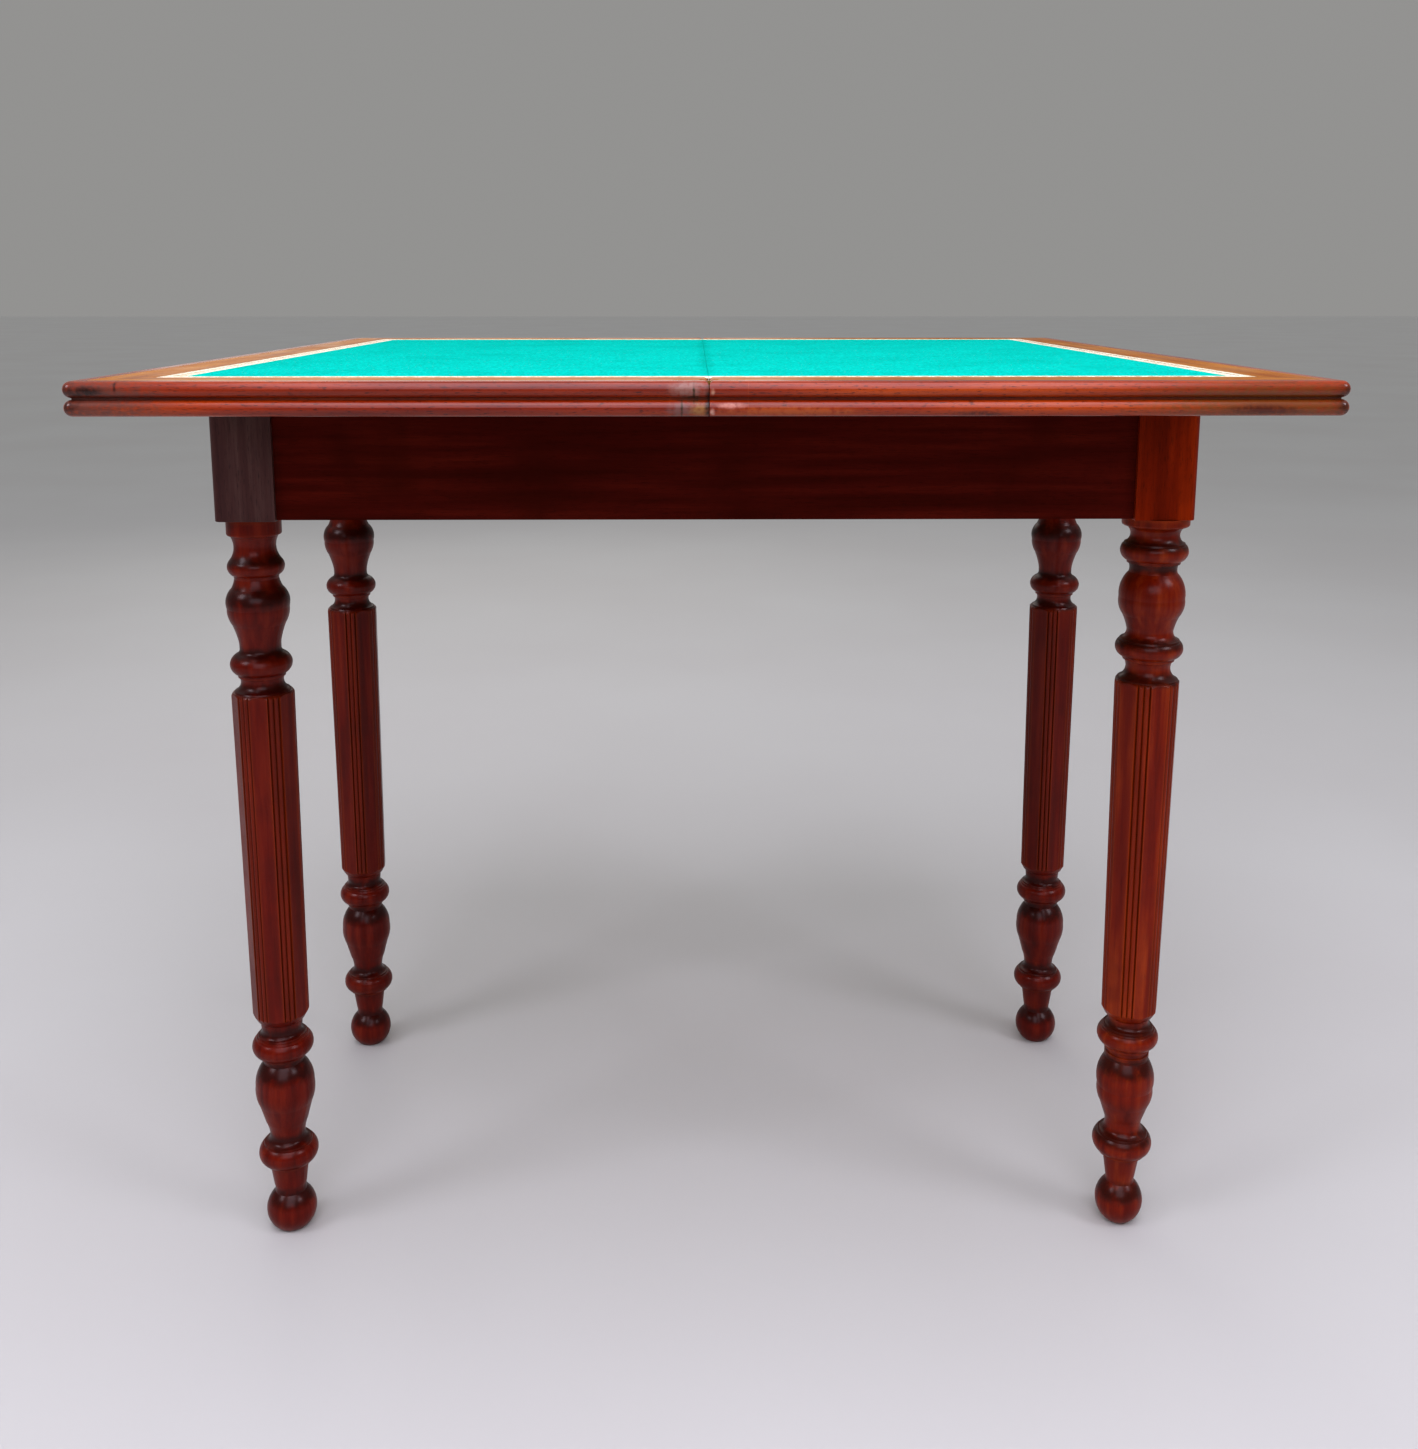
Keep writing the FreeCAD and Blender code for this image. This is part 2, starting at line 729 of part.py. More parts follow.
def hinge_plate():
    top_z = table_height - plate_inset
    low_z = top_z - plate_height
    far_x = plate_x + plate_length
    corner = plate_round * math.sqrt(2) / 2
    rise = FreeCAD.Vector(hinge_offset, plate_y, top_z)
    end = FreeCAD.Vector(plate_x, plate_y, pin_z)
    middle = FreeCAD.Vector(hinge_offset - corner, plate_y, pin_z + corner)
    low = FreeCAD.Vector(plate_x, plate_y, low_z)
    far_low = FreeCAD.Vector(far_x, plate_y, low_z)
    far_top = FreeCAD.Vector(far_x, plate_y, top_z)
    outline = Part.Wire([
        Part.Arc(rise, middle, end).toShape(),
        Part.makeLine(end, low),
        Part.makeLine(low, far_low),
        Part.makeLine(far_low, far_top),
        Part.makeLine(far_top, rise),
    ])
    plate = Part.Face(outline).extrude(FreeCAD.Vector(0, plate_thickness, 0))
    axis = FreeCAD.Vector(hinge_offset, plate_y, pin_z)
    hole = rod(pin_radius + drive_gap, axis - FreeCAD.Vector(0, overrun, 0),
               axis + FreeCAD.Vector(0, plate_thickness + overrun, 0))
    return cut_by(plate, [hole] + hinge_screws(drive_gap))


def hinge_pin():
    axis = FreeCAD.Vector(hinge_offset, 0, pin_z)
    shank = rod(pin_radius, axis + FreeCAD.Vector(0, plate_y, 0), axis + FreeCAD.Vector(0, pin_head_y, 0))
    head = rod(pin_head_radius, axis + FreeCAD.Vector(0, pin_head_y, 0),
               axis + FreeCAD.Vector(0, pin_head_y + pin_head_thickness, 0))
    return shank.fuse(head).removeSplitter()


def hinge_link():
    # The oblong link that joins the two pins of one hinge
    along = FreeCAD.Vector(0, link_thickness, 0)
    shape = box((-hinge_offset, hinge_offset), (link_y, link_y + link_thickness),
                (pin_z - link_end_radius, pin_z + link_end_radius))
    for side in (-1, 1):
        eye = FreeCAD.Vector(side * hinge_offset, link_y, pin_z)
        shape = shape.fuse(rod(link_end_radius, eye, eye + along))
    for side in (-1, 1):
        eye = FreeCAD.Vector(side * hinge_offset, link_y - overrun, pin_z)
        past = eye + along + FreeCAD.Vector(0, 2 * overrun, 0)
        shape = shape.cut(rod(pin_radius + running_gap, eye, past))
    return shape.removeSplitter()


def seam_strip(low_z):
    strip = box((end_face_x, end_face_x + seam_strip_width), (-side_y, side_y), (low_z, ground_z))
    return let_in_hinges(strip.cut(seam_round()))


def leaf_core(low_z):
    core = box((end_face_x + seam_strip_width, leaf_width - edge_width),
               (-side_y, side_y), (low_z, ground_z))
    return let_in_hinges(core)


def surface_frame(outer, inner, start_x, z_span):
    # Three strips, mitred at the outer corners, that run round the playing surface to the seam
    far_outer = leaf_width - outer
    far_inner = leaf_width - inner
    edge_outer = leaf_length / 2 - outer
    edge_inner = leaf_length / 2 - inner
    front = slab([(start_x, -edge_outer), (far_outer, -edge_outer), (far_inner, -edge_inner),
                  (start_x, -edge_inner)], z_span)
    end = slab([(far_outer, -edge_outer), (far_outer, edge_outer), (far_inner, edge_inner),
                (far_inner, -edge_inner)], z_span)
    return front_and_back(front) + [end]


def banding():
    strips = surface_frame(edge_width, margin_width, end_face_x, (ground_z, table_height))
    return [let_in_hinges(strip.cut(seam_round())) for strip in strips]


def border():
    return surface_frame(margin_width, margin_width + border_width, hinge_offset,
                         (ground_z, ground_z + border_thickness))


def baize():
    inset = margin_width + border_width
    return box((hinge_offset, leaf_width - inset), (inset - leaf_length / 2, leaf_length / 2 - inset),
               (ground_z, ground_z + baize_thickness))


def face_veneer():
    # The show face of the closed table, under the leaf that folds over
    return box((end_face_x, leaf_width - edge_width), (-side_y, side_y),
               (underside_z, underside_z + face_veneer_thickness))


def leaf_pieces(low_z):
    return {
        "core": leaf_core(low_z),
        "seam_strip": seam_strip(low_z),
        "front_edge": front_edge(),
        "back_edge": front_and_back(front_edge())[1],
        "end_edge": end_edge(),
        "banding": banding(),
        "border": border(),
        "baize": baize(),
        "hinge_covers": front_and_back(hinge_cover()),
        "hinge_plates": front_and_back(hinge_plate()),
        "hinge_pins": front_and_back(hinge_pin()),
        "hinge_screws": [copy for screw in hinge_screws(0) for copy in front_and_back(screw)],
    }


# Pivot of the top

def pivot_screws(gap):
    screws = []
    for index in range(pivot_screw_count):
        turn = math.radians(45 + index * 360 / pivot_screw_count)
        outwards = FreeCAD.Vector(math.cos(turn), math.sin(turn), 0)
        place = pivot_axis(underside_z) + outwards * pivot_screw_circle_radius
        screws.append(wood_screw(place, up, pivot_screw_radius, pivot_screw_head_radius,
                                 pivot_screw_head_depth, pivot_screw_length, gap))
    return screws


def pivot_plate():
    disc = rod(pivot_plate_radius, pivot_axis(underside_z), pivot_axis(underside_z + pivot_plate_thickness))
    hole = rod(bolt_tang_radius + drive_gap, pivot_axis(underside_z - overrun), pivot_axis(table_height))
    return cut_by(disc, [hole] + pivot_screws(drive_gap))


def steel_washer_low():
    return rail_low_z - washer_gap - friction_washer_thickness - steel_washer_thickness


def pivot_bolt():
    low_z = steel_washer_low() - nut_thickness - bolt_tail
    tip = cone(bolt_radius - bolt_chamfer, bolt_radius, pivot_axis(low_z), pivot_axis(low_z + bolt_chamfer))
    shank = rod(bolt_radius, pivot_axis(low_z + bolt_chamfer), pivot_axis(underside_z))
    tang = rod(bolt_tang_radius, pivot_axis(underside_z), pivot_axis(underside_z + pivot_plate_thickness))
    return shank.multiFuse([tip, tang]).removeSplitter()


def ring(outer_radius, low_z, thickness):
    disc = rod(outer_radius, pivot_axis(low_z), pivot_axis(low_z + thickness))
    hole = rod(bolt_radius + drive_gap, pivot_axis(low_z - overrun), pivot_axis(low_z + thickness + overrun))
    return disc.cut(hole)


def friction_washer():
    low_z = rail_low_z - washer_gap - friction_washer_thickness
    return ring(friction_washer_radius, low_z, friction_washer_thickness)


def steel_washer():
    return ring(steel_washer_radius, steel_washer_low(), steel_washer_thickness)


def pivot_nut():
    high_z = steel_washer_low()
    low_z = high_z - nut_thickness
    half = nut_size / 2
    nut = box((pivot_x - half, pivot_x + half), (pivot_y - half, pivot_y + half), (low_z, high_z))
    lower_rim = [edge for edge in nut.Edges if edge.BoundBox.ZMax < low_z + nut_chamfer / 2]
    nut = nut.makeChamfer(nut_chamfer, lower_rim)
    return nut.cut(rod(bolt_radius + drive_gap, pivot_axis(low_z - overrun), pivot_axis(high_z + overrun)))


def stop_peg(gap):
    # With the top open the peg stands against the front apron, and with it closed against the pivot rail
    axis = FreeCAD.Vector(pivot_x - peg_reach, pivot_y - peg_stand_off, 0)
    low = axis + up * (underside_z - peg_drop)
    high = axis + up * (underside_z + peg_depth + gap)
    tip = cone(peg_radius - peg_chamfer, peg_radius + gap, low, low + up * peg_chamfer)
    return tip.fuse(rod(peg_radius + gap, low + up * peg_chamfer, high)).removeSplitter()


def fixed_leaf_pieces():
    pieces = {name: [across_seam(solid) for solid in (shape if isinstance(shape, list) else [shape])]
              for name, shape in leaf_pieces(underside_z).items()}
    recess = rod(pivot_plate_radius + glue_gap, pivot_axis(underside_z - overrun),
                 pivot_axis(underside_z + pivot_plate_thickness))
    core = pieces["core"][0]
    pieces["core"] = cut_by(core, [recess, stop_peg(glue_gap)] + pivot_screws(glue_gap))
    return pieces


def frame_pieces():
    pieces = {
        "front_apron": long_apron(-1),
        "back_apron": long_apron(1),
        "left_apron": short_apron(-1),
        "right_apron": short_apron(1),
        "front_apron_veneer": long_apron_veneer(-1),
        "back_apron_veneer": long_apron_veneer(1),
        "left_apron_veneer": short_apron_veneer(-1),
        "right_apron_veneer": short_apron_veneer(1),
        "pivot_rail": pivot_rail(),
        "pivot_rail_cleats": pivot_rail_cleats(),
        "well_divider": divider_box(0),
        "well_ledgers": well_ledgers(),
        "well_bottom": well_bottom(),
        "well_lining": well_lining(),
    }
    legs = {corner: common_leg() for corner in corners}
    legs["front_right"] = odd_leg()
    for corner in corners:
        pieces[corner + "_block"] = corner_block(corner)
        pieces[corner + "_leg"] = stand_at_corner(legs[corner], corner)
    return pieces


def pivot_pieces():
    return {
        "pivot_plate": pivot_plate(),
        "pivot_plate_screws": pivot_screws(0),
        "pivot_bolt": pivot_bolt(),
        "friction_washer": friction_washer(),
        "steel_washer": steel_washer(),
        "pivot_nut": pivot_nut(),
        "stop_peg": stop_peg(0),
    }


def main():
    os.makedirs("parts", exist_ok=True)
    for name, shape in frame_pieces().items():
        save(name, shape)
    for name, shape in pivot_pieces().items():
        save(name, shape)
    for name, shape in fixed_leaf_pieces().items():
        save("fixed_leaf_" + name, shape)
    flip_pieces = leaf_pieces(underside_z + face_veneer_thickness)
    flip_pieces["face_veneer"] = face_veneer()
    for name, shape in flip_pieces.items():
        save("flip_leaf_" + name, shape)
    save("hinge_links", front_and_back(hinge_link()))


main()
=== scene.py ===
import math

import bpy
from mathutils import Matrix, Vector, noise


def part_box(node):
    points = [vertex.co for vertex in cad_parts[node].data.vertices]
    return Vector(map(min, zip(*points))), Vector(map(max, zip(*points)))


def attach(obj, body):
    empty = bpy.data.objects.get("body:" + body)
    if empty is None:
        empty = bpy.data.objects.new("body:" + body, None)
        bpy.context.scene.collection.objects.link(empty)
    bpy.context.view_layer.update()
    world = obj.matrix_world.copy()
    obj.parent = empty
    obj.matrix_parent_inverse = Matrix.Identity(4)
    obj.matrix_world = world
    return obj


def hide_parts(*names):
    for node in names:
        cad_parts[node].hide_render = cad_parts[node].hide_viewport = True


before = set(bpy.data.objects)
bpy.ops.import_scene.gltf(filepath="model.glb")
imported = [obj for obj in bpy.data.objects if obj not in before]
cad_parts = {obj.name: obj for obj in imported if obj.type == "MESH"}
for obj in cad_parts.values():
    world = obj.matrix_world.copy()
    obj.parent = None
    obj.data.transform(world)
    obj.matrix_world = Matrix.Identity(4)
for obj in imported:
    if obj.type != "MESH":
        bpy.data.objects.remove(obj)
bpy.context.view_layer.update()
mm = 0.001
smooth = {"interpolation_type": "SMOOTHSTEP"}
print("frame loaded")


def hexColour(text):
    # An sRGB hex value as the linear colour that a socket holds
    parts = [int(text[start:start + 2], 16) / 255 for start in (1, 3, 5)]
    linear = [part / 12.92 if part <= 0.04045 else ((part + 0.055) / 1.055) ** 2.4 for part in parts]
    return (*linear, 1)


def addNode(material, kind, settings=None, stops=(), **sockets):
    # Sockets are named by their label, with _ for a space, or by their number after an s. Stops are
    # the places and tones of a colour ramp
    node = material.node_tree.nodes.new("ShaderNode" + kind)
    for name, value in (settings or {}).items():
        setattr(node, name, value)
    for name, value in sockets.items():
        key = int(name[1:]) if name[0] == "s" and name[1:].isdigit() else name.replace("_", " ")
        if isinstance(value, bpy.types.NodeSocket):
            material.node_tree.links.new(value, node.inputs[key])
        else:
            node.inputs[key].default_value = value
    for number, (place, tone) in enumerate(stops):
        if number == len(node.color_ramp.elements):
            node.color_ramp.elements.new(1)
        node.color_ramp.elements[number].position = place
        node.color_ramp.elements[number].color = hexColour(tone)
    return node


def newMaterial(name):
    material = bpy.data.materials.new(name)
    material.use_nodes = True
    material.node_tree.nodes.remove(material.node_tree.nodes["Principled BSDF"])
    return material


def finishMaterial(material, shader):
    output = material.node_tree.nodes["Material Output"]
    material.node_tree.links.new(shader.outputs[0], output.inputs["Surface"])
    return material


def grainPattern(material, place, along, width, length, detail=3):
    # Noise drawn out along the grain. Width and length are the real size of its streaks, in metres
    scale = [1 / length if axis == along else 1 / width for axis in "XYZ"]
    stretched = addNode(material, "Mapping", Vector=place, Scale=scale).outputs["Vector"]
    node = addNode(material, "TexNoise", Vector=stretched, Scale=1.0, Detail=detail, Roughness=0.55)
    return node.outputs["Fac"]


def layTone(material, colour, tone, pattern, span, amount):
    # Lays a tone over the colour, from none where the pattern is at the span's start to the
    # amount where it is at the span's end
    mask = addNode(material, "MapRange", smooth, Value=pattern, From_Min=span[0], From_Max=span[1],
                   To_Max=amount)
    layer = addNode(material, "Mix", {"data_type": "RGBA"}, s0=mask.outputs[0], s6=colour,
                    s7=hexColour(tone))
    return layer.outputs[2]


# Mahogany, French polished by hand: a thin clear shellac over stained wood, so the grain shows
# through a soft gloss. The hollows are darker, for polish gathered there and as painted shade, and
# the edges lighter, for polish rubbed thin there and as a painted highlight on the ridges.
mahogany = {
    "figureWidth": 11 * mm, "figureLength": 190 * mm, "figureAt": (0.3, 0.5, 0.72),
    "streakWidth": 1.3 * mm, "streakLength": 75 * mm, "streaksAt": (0.5, 0.72), "streaks": 0.4,
    "poreWidth": 0.45 * mm, "poreLength": 8 * mm,  # real pores are 0.15 mm wide, too fine to show
    "poresAt": (0.58, 0.68), "pores": 0.5, "poreDepth": 0.04 * mm,
    "patchSize": 55 * mm, "patchesAt": (0.5, 0.75), "patches": 0.4,
    "hollowReach": 3.5 * mm, "hollowAt": (0.85, 0.3), "hollowPolishAndShade": 0.4,
    "edgeReach": 1.6 * mm, "thinAt": (0.6, 0.25), "wear": 0.3,
    "rippleSize": 14 * mm, "rippleDepth": 0.05 * mm,
    "ringGap": 0.8976 * mm, "ringDepth": 0,  # the lathe's own rings are too fine to show
    "roughness": (0.3, 0.45), "glossAt": (0.35, 0.65), "specular": 0.15, "tint": "#ff7a50",
    "coat": 0.35, "coatRoughness": 0.28, "mitred": False,
    "marks": [], "stainSize": 3 * mm, "marksAt": (0.05, 0.45), "markStrength": 0.9,
}


def polishedWood(name, along, **changes):
    look = {**mahogany, **changes}
    material = newMaterial(name)
    place = addNode(material, "TexCoord").outputs["Object"]
    if look["mitred"]:
        # Strips that meet in mitres at the corners: on the end strip X and Y change places
        parts = addNode(material, "SeparateXYZ", Vector=place).outputs
        away = [addNode(material, "Math", {"operation": "ABSOLUTE"}, s0=parts[axis]).outputs[0]
                for axis in "XY"]
        onEnd = addNode(material, "Math", {"operation": "GREATER_THAN"}, s0=away[0], s1=away[1])
        swapped = addNode(material, "CombineXYZ", X=parts["Y"], Y=parts["X"], Z=parts["Z"])
        place = addNode(material, "Mix", {"data_type": "VECTOR"}, s0=onEnd.outputs[0], s4=place,
                        s5=swapped.outputs[0]).outputs[1]
    figure = grainPattern(material, place, along, look["figureWidth"], look["figureLength"], 4)
    tones = list(zip(look["figureAt"], (look["dark"], look["middle"], look["light"])))
    colour = addNode(material, "ValToRGB", None, tones, Fac=figure).outputs["Color"]
    streaks = grainPattern(material, place, along, look["streakWidth"], look["streakLength"])
    colour = layTone(material, colour, look["dark"], streaks, look["streaksAt"], look["streaks"])
    pores = grainPattern(material, place, along, look["poreWidth"], look["poreLength"], 2)
    colour = layTone(material, colour, look["pore"], pores, look["poresAt"], look["pores"])
    patches = addNode(material, "TexNoise", Vector=place, Scale=1 / look["patchSize"],
                      Detail=3.0).outputs["Fac"]
    colour = layTone(material, colour, look["dark"], patches, look["patchesAt"], look["patches"])
    # Hollows take the pore tone: polish gathered there, and painted shade as well
    hollowPolishAndShade = addNode(material, "AmbientOcclusion", {"samples": 6, "only_local": True},
                     Distance=look["hollowReach"]).outputs["AO"]
    colour = layTone(material, colour, look["pore"], hollowPolishAndShade, look["hollowAt"], look["hollowPolishAndShade"])
    # Thin edges and ridges take a lighter tone: polish rubbed thin there, and a painted highlight along
    # the ridges as well
    thin = addNode(material, "AmbientOcclusion", {"samples": 6, "only_local": True, "inside": True},
                   Distance=look["edgeReach"]).outputs["AO"]
    colour = layTone(material, colour, look["wornAndLit"], thin, look["thinAt"], look["wear"])
    stains = addNode(material, "TexNoise", Vector=place, Scale=1 / look["stainSize"],
                     Detail=4.0).outputs["Fac"]
    for centre, reach, tone in look["marks"]:
        spot = addNode(material, "Mapping", {"vector_type": "TEXTURE"}, Vector=place,
                       Location=centre, Scale=reach)
        spot = addNode(material, "TexGradient", {"gradient_type": "SPHERICAL"},
                       Vector=spot.outputs["Vector"])
        spot = addNode(material, "Math", {"operation": "MULTIPLY"}, s0=spot.outputs["Fac"], s1=stains)
        colour = layTone(material, colour, tone, spot.outputs[0], look["marksAt"], look["markStrength"])
    ripple = addNode(material, "TexNoise", Vector=place, Scale=1 / look["rippleSize"],
                     Detail=2.0).outputs["Fac"]
    bump = addNode(material, "Bump", Strength=0.5, Distance=look["rippleDepth"], Height=ripple).outputs[0]
    openPores = addNode(material, "MapRange", smooth, Value=pores, From_Min=look["poresAt"][0],
                        From_Max=look["poresAt"][1]).outputs[0]
    bump = addNode(material, "Bump", {"invert": True}, Strength=0.6, Distance=look["poreDepth"],
                   Height=openPores, Normal=bump).outputs[0]
    if look["ringDepth"]:
        # At a scale of 1 this pattern runs through 20 radians to the metre
        rings = addNode(material, "TexWave", {"bands_direction": "Z"}, Vector=place,
                        Scale=math.tau / (20 * look["ringGap"]), Distortion=1.5, Detail=2.0).outputs["Fac"]
        bump = addNode(material, "Bump", Strength=0.4, Distance=look["ringDepth"], Height=rings,
                       Normal=bump).outputs[0]
    gloss = addNode(material, "MapRange", smooth, Value=patches, From_Min=look["glossAt"][0],
                    From_Max=look["glossAt"][1], To_Min=look["roughness"][0],
                    To_Max=look["roughness"][1]).outputs[0]
    shader = addNode(material, "BsdfPrincipled", Base_Color=colour, Roughness=gloss, IOR=1.5,
                     Specular_IOR_Level=look["specular"], Specular_Tint=hexColour(look["tint"]),
                     Coat_Weight=look["coat"], Coat_Roughness=look["coatRoughness"], Normal=bump)
    return finishMaterial(material, shader)


def mark(centre, reach, tone):
    # A mark for a dent, a stain and painted shade alike: where it is and how far it reaches along X, Y and
    # Z, in mm, and its tone
    return [part * mm for part in centre], [part * mm for part in reach], tone


def ledgeDarkBands(places, tone):
    # Darker bands lie round the whole leg, on the ledges of the turnings
    return [mark((0, 0, height), (10000, 10000, reach), tone) for height, reach in places]


def paint(material, *nodes):
    for node in nodes:
        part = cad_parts[node]
        part.data.materials.clear()
        part.data.materials.append(material)


legTones = {"dark": "#480600", "middle": "#5e0c00", "light": "#741e06", "pore": "#1a0000",
            "wornAndLit": "#983c10"}
oddLegTones = {"dark": "#580a00", "middle": "#721800", "light": "#8e340a", "pore": "#1e0100",
               "wornAndLit": "#ac460c"}
legLook = {
    "figureWidth": 9 * mm, "figureLength": 150 * mm, "streaks": 0.15, "pores": 0.25,
    "patches": 0.45, "patchSize": 38 * mm, "hollowPolishAndShade": 0.8, "hollowReach": 4 * mm,
    "wear": 0.4, "edgeReach": 5 * mm, "thinAt": (0.92, 0.5), "stainSize": 9 * mm,
    "rippleDepth": 0.02 * mm, "ringDepth": 0.02 * mm,
    "coat": 0.34, "coatRoughness": 0.24, "specular": 0.05,
}
# Each ledge's height, and how far its darker band reaches, in mm
footLedges = [(183, 9), (150, 15), (84, 10), (32, 13)]
ledges = [(585, 8), (556, 15), (510, 8), (481, 8)] + footLedges
oddLedges = [(597, 8), (578, 7), (517, 8), (488, 8)] + footLedges
legMahogany = polishedWood("frenchPolishedLegMahogany", "Z", marks=ledgeDarkBands(ledges, "#2a0604"),
                           **legLook, **legTones)
oddLegMahogany = polishedWood("frenchPolishedOddLegMahogany", "Z",
                              marks=ledgeDarkBands(oddLedges, "#300a04"), **legLook, **oddLegTones)
paint(legMahogany, "front_left_leg", "back_left_leg", "back_right_leg")
paint(oddLegMahogany, "front_right_leg")

# The left blocks are duller, and their grey tones are partly a painted reflection
darkTones = {"dark": "#38181a", "middle": "#4a2a28", "light": "#5c403c", "pore": "#180808",
             "wornAndLit": "#6a3a28"}
warmTones = {"dark": "#601200", "middle": "#7c1e00", "light": "#983004", "pore": "#240400",
             "wornAndLit": "#984010"}
darkBlock = polishedWood("dullBlockMahoganyWithPaintedReflection", "Z", roughness=(0.36, 0.5), coat=0.12,
                         tint="#ffffff", **darkTones)
warmBlock = polishedWood("polishedBlockMahogany", "Z", roughness=(0.32, 0.46), coat=0.06, **warmTones)
paint(darkBlock, "front_left_block", "back_left_block")
paint(warmBlock, "front_right_block", "back_right_block")

apronLook = {
    "dark": "#360502", "middle": "#4c0c08", "light": "#62180e", "pore": "#120000", "wornAndLit": "#601a0a",
    "patches": 0.8, "patchSize": 90 * mm, "wear": 0.15, "specular": 0.08, "coat": 0.03,
}
longVeneer = polishedWood("polishedMahoganyVeneerAlongX", "X", **apronLook)
shortVeneer = polishedWood("polishedMahoganyVeneerAlongY", "Y", **apronLook)
paint(longVeneer, "front_apron_veneer", "back_apron_veneer")
paint(shortVeneer, "left_apron_veneer", "right_apron_veneer")
print("frame mahogany done")

# The top's mouldings and margins are sun-faded, and chipped and stained where hands have held them
edgeLook = {
    "dark": "#641400", "middle": "#882800", "light": "#a84406", "pore": "#2c0602", "wornAndLit": "#b45824",
    "streaks": 0.25, "pores": 0.7, "poreWidth": 0.8 * mm, "poreLength": 5 * mm,
    "patches": 0.3, "hollowPolishAndShade": 0.3, "coat": 0.85, "coatRoughness": 0.2, "specular": 0.04,
}
bandingLook = {
    **edgeLook, "dark": "#7a460e", "middle": "#98631a", "light": "#b07c2a",
    "coat": 0.12, "coatRoughness": 0.3, "mitred": True,
}
dentsAndNotchShade = [
    mark((-385, -400, 728), (80, 20, 24), "#5e342a"),
    mark((350, -400, 726), (130, 20, 24), "#6c3a12"),
    mark((-366, -400, 737), (1.8, 8, 7), "#2a0802"),
    # The next mark is painted shade, standing for the hollow of the notch near the left corner
    mark((-384, -400, 733.5), (16, 10, 6), "#160200"),  # the notch near the left corner
    mark((-400, -400, 728), (18, 14, 18), "#34120a"),
    mark((400, -400, 728), (18, 14, 18), "#34120a"),
    mark((168, -400, 719), (30, 6, 4), "#4a1404"),
    mark((345, -400, 722), (34, 6, 6), "#4a1606"),
]
# A lighter orange patch along the lower bead of the front edge
brightPatch = mark((50, -400, 721), (70, 6, 6), "#a04a14")
bleaches = [
    mark((-13, -400, 735), (18, 9, 11), "#845c52"),
    mark((-17, -400, 722), (14, 8, 9), "#6e4842"),
]
coverStainsAndSeamShade = [
    mark((-6, -401, 721), (10, 8, 10), "#8e6434"),
    mark((-10, -399, 729), (16, 8, 3), "#33250e"),
    mark((-17, -399, 722), (1.4, 9, 10), "#33250e"),
    mark((-9.5, -399, 732), (1.4, 9, 10), "#33250e"),
    # The next mark is painted shade, standing for the open gap between the covers at the seam
    mark((0, -399, 724), (4.5, 10, 24), "#120700"),
]
chips = [
    mark((14, -401, 725), (14, 6, 3.4), "#b07060"),
    mark((2, -401, 719), (3, 5, 6), "#d0a898"),
    mark((2.2, -401, 733), (2.2, 5, 4), "#b88870"),
]
sideEdge = polishedWood("frenchPolishedMahoganyAlongY", "Y", **edgeLook)
mitredBanding = polishedWood("frenchPolishedMahoganyBanding", "X", **bandingLook)
bleachedCover = polishedWood("bleachedMahoganyCover", "X", marks=bleaches + coverStainsAndSeamShade, **edgeLook)
longEdge = polishedWood("frenchPolishedMahoganyAlongX", "X", marks=dentsAndNotchShade + [brightPatch] + bleaches,
                        **edgeLook)
chippedCover = polishedWood("chippedMahoganyCover", "X", marks=[brightPatch] + chips, wear=0.5,
                            **edgeLook)
for leaf in ("fixed_leaf", "flip_leaf"):
    paint(longEdge, leaf + "_front_edge", leaf + "_back_edge")
    paint(mitredBanding, leaf + "_banding")
    paint(sideEdge, leaf + "_end_edge", leaf + "_seam_strip")
paint(bleachedCover, "fixed_leaf_hinge_covers")
paint(chippedCover, "flip_leaf_hinge_covers")
paint(longEdge, "flip_leaf_face_veneer")
print("top mahogany done")

# Oak, planed and left bare: pale and dull, with open pores
oak = {
    "dark": "#7a5a38", "middle": "#93714a", "light": "#a98a60", "pore": "#4d3820",
    "figureWidth": 14 * mm, "figureLength": 240 * mm, "figureAt": (0.3, 0.5, 0.7),
    "poreWidth": 0.7 * mm, "poreLength": 14 * mm, "poresAt": (0.56, 0.68), "pores": 0.6,
    "poreDepth": 0.15 * mm, "roughness": (0.6, 0.78),
}


def bareOak(name, along):
    material = newMaterial(name)
    place = addNode(material, "TexCoord").outputs["Object"]
    figure = grainPattern(material, place, along, oak["figureWidth"], oak["figureLength"], 4)
    tones = list(zip(oak["figureAt"], (oak["dark"], oak["middle"], oak["light"])))
    colour = addNode(material, "ValToRGB", None, tones, Fac=figure).outputs["Color"]
    pores = grainPattern(material, place, along, oak["poreWidth"], oak["poreLength"], 2)
    colour = layTone(material, colour, oak["pore"], pores, oak["poresAt"], oak["pores"])
    openPores = addNode(material, "MapRange", smooth, Value=pores, From_Min=oak["poresAt"][0],
                        From_Max=oak["poresAt"][1]).outputs[0]
    bump = addNode(material, "Bump", {"invert": True}, Strength=0.6, Distance=oak["poreDepth"],
                   Height=openPores)
    dullness = addNode(material, "MapRange", smooth, Value=figure, From_Min=oak["figureAt"][0],
                       From_Max=oak["figureAt"][2], To_Min=oak["roughness"][0],
                       To_Max=oak["roughness"][1]).outputs[0]
    shader = addNode(material, "BsdfPrincipled", Base_Color=colour, IOR=1.5, Roughness=dullness,
                     Normal=bump.outputs["Normal"])
    return finishMaterial(material, shader)


oakAlongX = bareOak("planedOakAlongX", "X")
oakAlongY = bareOak("planedOakAlongY", "Y")
paint(oakAlongX, "front_apron", "back_apron", "well_bottom")
paint(oakAlongY, "left_apron", "right_apron", "pivot_rail", "pivot_rail_cleats", "well_divider",
      "well_ledgers", "fixed_leaf_core", "flip_leaf_core", "stop_peg")
print("oak done")

